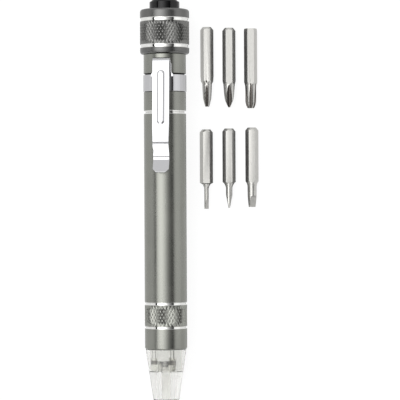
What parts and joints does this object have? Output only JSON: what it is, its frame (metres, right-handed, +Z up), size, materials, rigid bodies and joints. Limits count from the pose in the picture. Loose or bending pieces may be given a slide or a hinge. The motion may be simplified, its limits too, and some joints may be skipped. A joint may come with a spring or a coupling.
{
  "type": "pocket screwdriver",
  "caption": "Slim metal screwdriver pen with a clear lit nose, knurled grips, a pocket clip and a push-button tail cap, with its loose hexagon bits beside it.",
  "frame": {"origin": "on the table, under the centre of the set's bounding box", "axes": "+Y along the pen's axis from the nose tip to the button, +X from the pen towards the loose bits, +Z up from the table"},
  "size_m": [0.0414, 0.141, 0.02],
  "materials": {
    "barrel_skin": "satin grey anodised, with polished turned rings and a knurled band",
    "cap_skin": "satin grey anodised, with polished turned rings and a knurled band",
    "clip_steel": "bright polished sheet",
    "bit_steel": "ground and nickel plated",
    "spring_steel": "drawn wire",
    "cell_steel": "plated can",
    "contact_brass": "bare",
    "magnet": "nickel plated",
    "clear_nose": "clear moulded",
    "tube_plastic": "thin translucent tube",
    "lamp": "clear resin",
    "circuit_board": "lacquered board",
    "seal_rubber": "moulded",
    "rack_plastic": "moulded",
    "plunger_plastic": "moulded",
    "button_plastic": "glossy moulded"
  },
  "bodies": {
    "lower_body": {"nose_cone": "clear_nose", "socket_magnet": "magnet", "led_1": "lamp", "led_2": "lamp", "led_3": "lamp", "led_board": "circuit_board", "front_spring": "spring_steel", "front_sleeve": "barrel_skin", "lower_barrel": "barrel_skin"},
    "upper_body": {"upper_barrel": "barrel_skin", "seam_seal": "seal_rubber", "bit_rack": "rack_plastic", "contact_rod": "contact_brass", "contact_plate": "contact_brass", "battery_tube": "tube_plastic", "battery_cell_1": "cell_steel", "battery_cell_2": "cell_steel", "battery_cell_3": "cell_steel", "neck_seal": "seal_rubber", "clip_band": "clip_steel"},
    "clip_arm": {"clip_arm": "clip_steel"},
    "switch_module": {"switch_body": "rack_plastic", "battery_spring": "spring_steel", "button_spring": "spring_steel"},
    "tail_cap": {"tail_cap": "cap_skin"},
    "button": {"button": "button_plastic", "switch_plunger": "plunger_plastic"},
    "cross_bit_small": {"cross_bit_small": "bit_steel"},
    "cross_bit_large": {"cross_bit_large": "bit_steel"},
    "star_bit": {"star_bit": "bit_steel"},
    "slot_bit_small": {"slot_bit_small": "bit_steel"},
    "slot_bit_medium": {"slot_bit_medium": "bit_steel"},
    "slot_bit_large": {"slot_bit_large": "bit_steel"}
  },
  "joints": [
    {"name": "barrel_pull", "type": "slide", "parent": "lower_body", "child": "upper_body", "axis": [0, 1, 0], "range_m": [0, 0.068]},
    {"name": "cap_rise", "type": "slide", "parent": "upper_body", "child": "switch_module", "axis": [0, 1, 0], "range_m": [0, 0.006]},
    {"name": "cap_turn", "type": "hinge", "parent": "switch_module", "child": "tail_cap", "pos_m": [-0.01211, 0.0595, 0.0086], "axis": [0, 1, 0], "range_deg": [0, 2880]},
    {"name": "button_press", "type": "slide", "parent": "tail_cap", "child": "button", "axis": [0, -1, 0], "range_m": [0, 0.0012], "stiffness_N_per_m": 900, "springref_m": -0.0005, "deforming": ["button_spring"]},
    {"name": "clip_flex", "type": "hinge", "parent": "upper_body", "child": "clip_arm", "pos_m": [-0.01307, 0.04743, 0.01777], "axis": [-0.9945, 0, -0.1045], "range_deg": [0, 5], "stiffness_Nm_per_rad": 2, "springref_deg": -1.72},
    {"name": "cross_bit_small_lift", "type": "slide", "parent": "lower_body", "child": "cross_bit_small", "axis": [0, 0, 1], "range_m": [0, 0.03]},
    {"name": "cross_bit_large_lift", "type": "slide", "parent": "lower_body", "child": "cross_bit_large", "axis": [0, 0, 1], "range_m": [0, 0.03]},
    {"name": "star_bit_lift", "type": "slide", "parent": "lower_body", "child": "star_bit", "axis": [0, 0, 1], "range_m": [0, 0.03]},
    {"name": "slot_bit_small_lift", "type": "slide", "parent": "lower_body", "child": "slot_bit_small", "axis": [0, 0, 1], "range_m": [0, 0.03]},
    {"name": "slot_bit_medium_lift", "type": "slide", "parent": "lower_body", "child": "slot_bit_medium", "axis": [0, 0, 1], "range_m": [0, 0.03]},
    {"name": "slot_bit_large_lift", "type": "slide", "parent": "lower_body", "child": "slot_bit_large", "axis": [0, 0, 1], "range_m": [0, 0.03]}
  ],
  "couplings": [
    {"joint": "cap_turn", "follows": "cap_rise", "rad_per_m": 8377.5}
  ]
}
